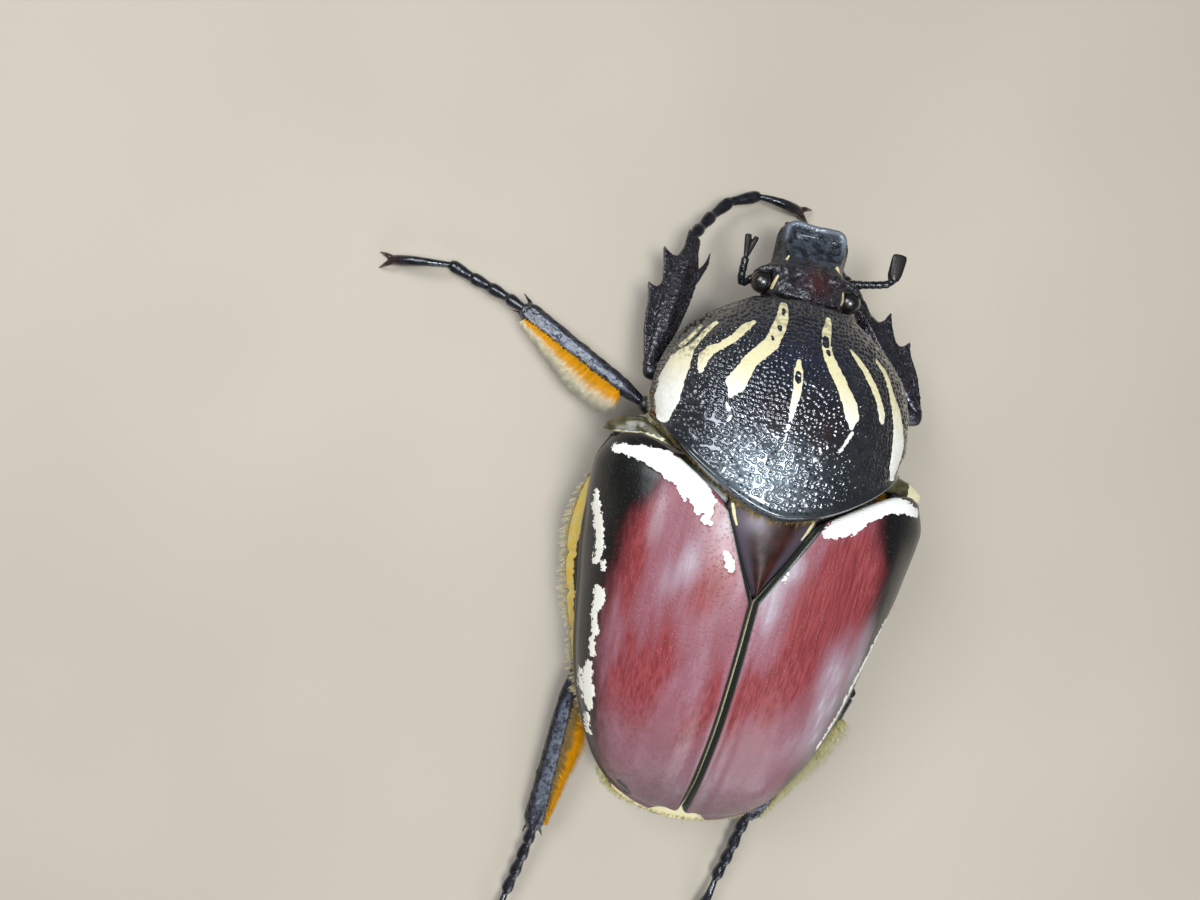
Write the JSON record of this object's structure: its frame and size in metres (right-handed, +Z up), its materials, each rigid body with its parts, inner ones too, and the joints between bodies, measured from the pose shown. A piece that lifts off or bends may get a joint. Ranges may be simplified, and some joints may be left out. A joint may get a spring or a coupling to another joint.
{
  "type": "goliath beetle",
  "caption": "Life-size goliath beetle, female, walking with the left fore and mid legs stretched out: striped black pronotum, wine-red elytra, toothed fore legs",
  "frame": {"origin": "middle of the footprint, on the floor", "axes": "the head points to -Y and the tail to +Y, the animal's left side is +X, up is +Z"},
  "size_m": [0.07, 0.1002, 0.0243],
  "materials": {
    "elytron_left": "satin wine-red chitin with a ragged white base band, a white margin line and a black shoulder",
    "eye_left": "glossy dark brown",
    "antenna_left": "glossy blackish brown",
    "shoulder_left": "olive brown chitin with pale hairs",
    "elytron_right": "satin wine-red chitin with a ragged white base band, a white margin line and a black shoulder",
    "eye_right": "glossy dark brown",
    "antenna_right": "glossy blackish brown",
    "shoulder_right": "olive brown chitin with pale hairs",
    "pronotum": "glossy black granulate chitin with cream stripes",
    "prosternum": "blackish chitin with short brown hair",
    "head": "blackish chitin with a bluish shine, punctate",
    "scutellum": "glossy purple-brown chitin",
    "thorax": "dark chitin under yellow-brown hair at the flanks",
    "abdomen": "dark brown chitin with hairy flanks",
    "pygidium": "cream scales over brown chitin",
    "femur_fore_left": "glossy black chitin with a blue sheen",
    "tibia_fore_left": "glossy black chitin with a blue sheen",
    "tarsus_fore_left": "glossy black chitin",
    "femur_mid_left": "glossy black chitin with a blue sheen",
    "tibia_mid_left": "glossy black chitin with a blue sheen",
    "tarsus_mid_left": "glossy black chitin",
    "femur_hind_left": "glossy black chitin with a blue sheen",
    "tibia_hind_left": "glossy black chitin with a blue sheen",
    "tarsus_hind_left": "glossy black chitin",
    "femur_fore_right": "glossy black chitin with a blue sheen",
    "tibia_fore_right": "glossy black chitin with a blue sheen",
    "tarsus_fore_right": "glossy black chitin",
    "femur_mid_right": "glossy black chitin with a blue sheen",
    "tibia_mid_right": "glossy black chitin with a blue sheen",
    "tarsus_mid_right": "glossy black chitin",
    "femur_hind_right": "glossy black chitin with a blue sheen",
    "tibia_hind_right": "glossy black chitin with a blue sheen",
    "tarsus_hind_right": "glossy black chitin"
  },
  "bodies": {
    "root": {"elytron_left": "elytron_left", "eye_left": "eye_left", "antenna_left": "antenna_left", "shoulder_left": "shoulder_left", "elytron_right": "elytron_right", "eye_right": "eye_right", "antenna_right": "antenna_right", "shoulder_right": "shoulder_right", "pronotum": "pronotum", "prosternum": "prosternum", "head": "head", "scutellum": "scutellum", "thorax": "thorax", "abdomen": "abdomen", "pygidium": "pygidium", "femur_fore_left": "femur_fore_left", "tibia_fore_left": "tibia_fore_left", "tarsus_fore_left": "tarsus_fore_left", "femur_mid_left": "femur_mid_left", "tibia_mid_left": "tibia_mid_left", "tarsus_mid_left": "tarsus_mid_left", "femur_hind_left": "femur_hind_left", "tibia_hind_left": "tibia_hind_left", "tarsus_hind_left": "tarsus_hind_left", "femur_fore_right": "femur_fore_right", "tibia_fore_right": "tibia_fore_right", "tarsus_fore_right": "tarsus_fore_right", "femur_mid_right": "femur_mid_right", "tibia_mid_right": "tibia_mid_right", "tarsus_mid_right": "tarsus_mid_right", "femur_hind_right": "femur_hind_right", "tibia_hind_right": "tibia_hind_right", "tarsus_hind_right": "tarsus_hind_right"}
  },
  "joints": []
}
